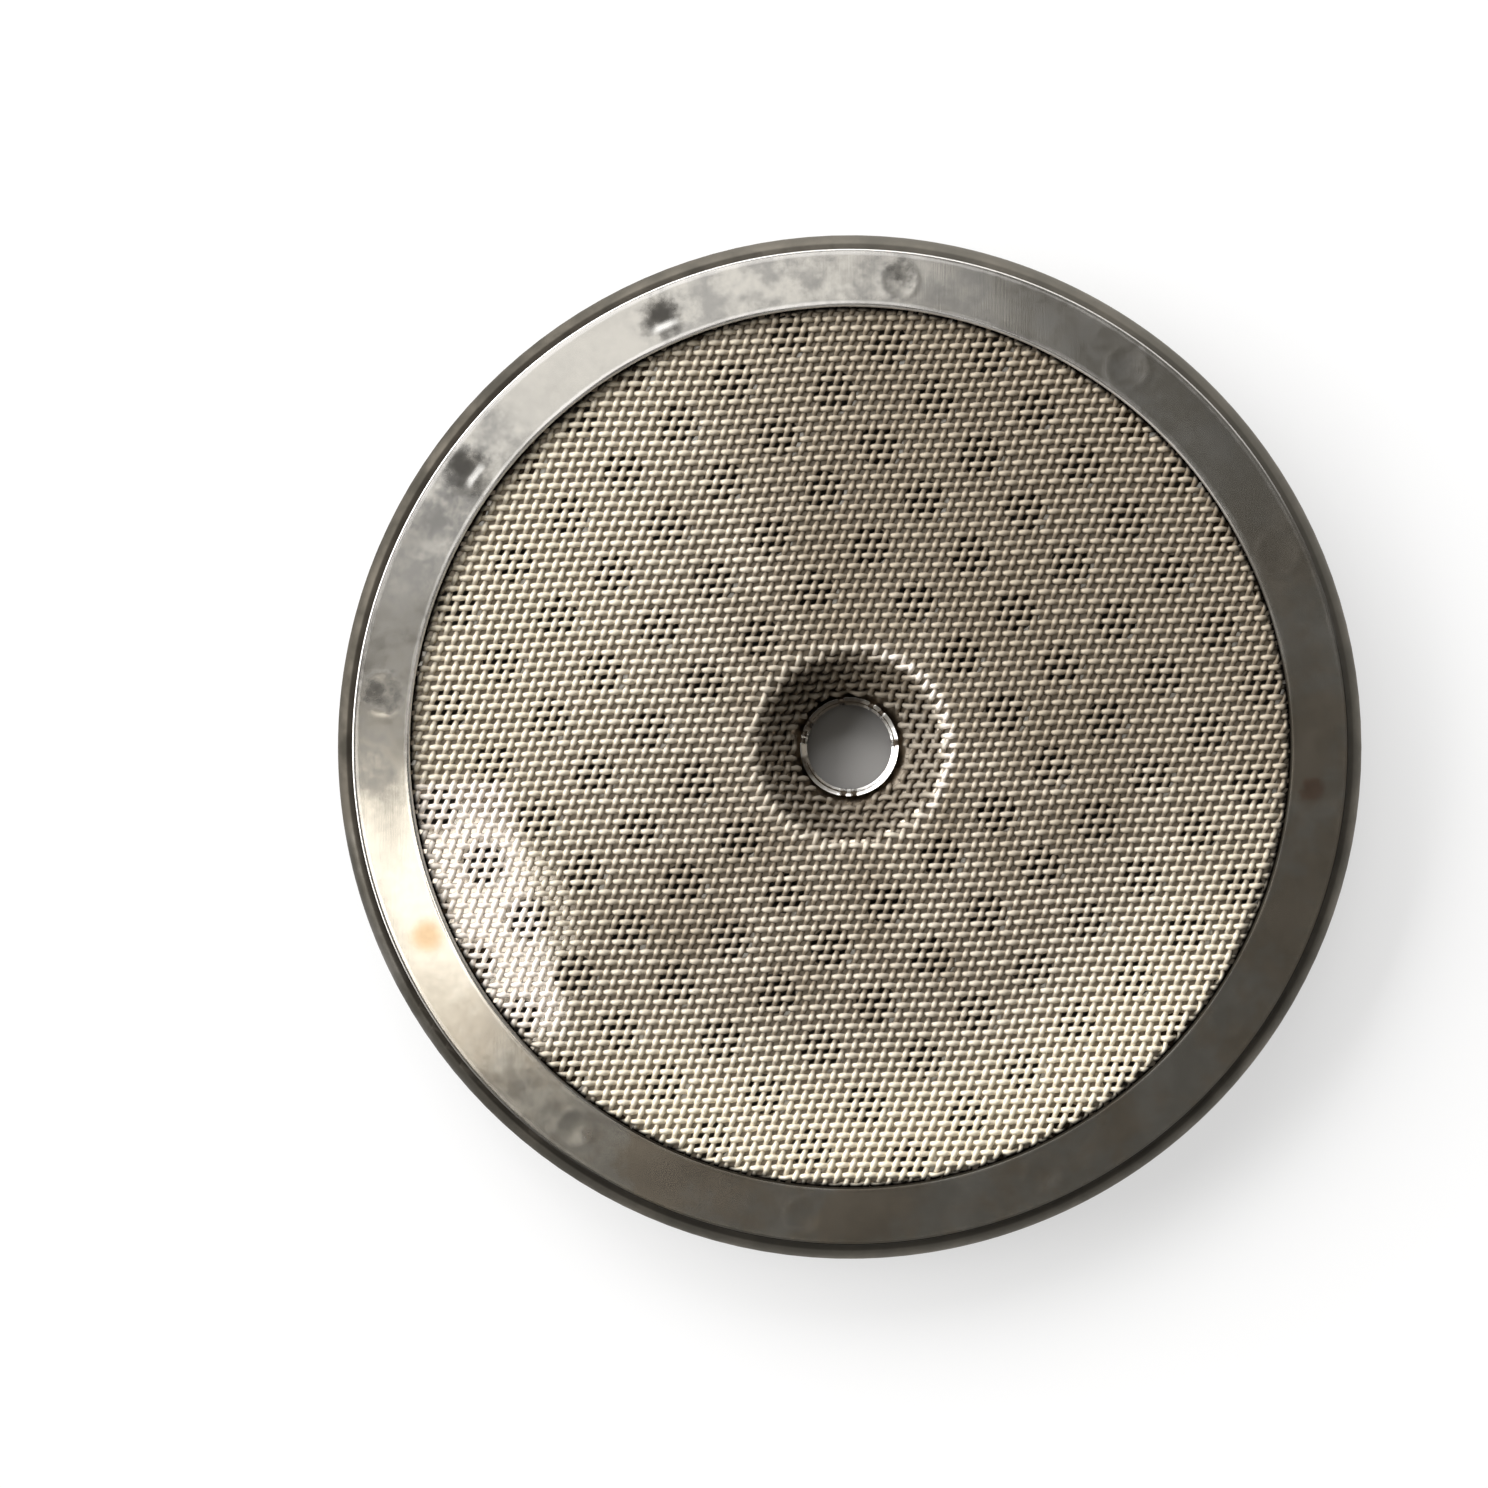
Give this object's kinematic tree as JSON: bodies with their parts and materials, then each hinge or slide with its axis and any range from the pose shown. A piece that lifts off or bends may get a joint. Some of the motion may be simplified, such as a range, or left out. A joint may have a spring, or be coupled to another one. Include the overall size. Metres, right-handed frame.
{
  "type": "espresso shower screen",
  "caption": "Round steel shower screen for an espresso machine's brew group: a perforated dish, woven wire cloth and a welded clamp ring, with a countersunk screw hole.",
  "frame": {"origin": "centre of the dish's free edge, on the screw's axis", "axes": "+Z points from the group to the coffee, through the wire cloth; +X and +Y are the picture's right and top"},
  "size_m": [0.0575, 0.0574, 0.0051],
  "materials": {
    "pressed_sheet": "satin rolled stainless, stained brown in the holes",
    "woven_wire": "bright drawn wire with coffee film between the wires",
    "punched_ring": "burnished, smudged, one weld heat-tinted orange"
  },
  "bodies": {
    "root": {"dish": "pressed_sheet", "wire_cloth": "woven_wire", "clamp_ring": "punched_ring"}
  },
  "joints": []
}
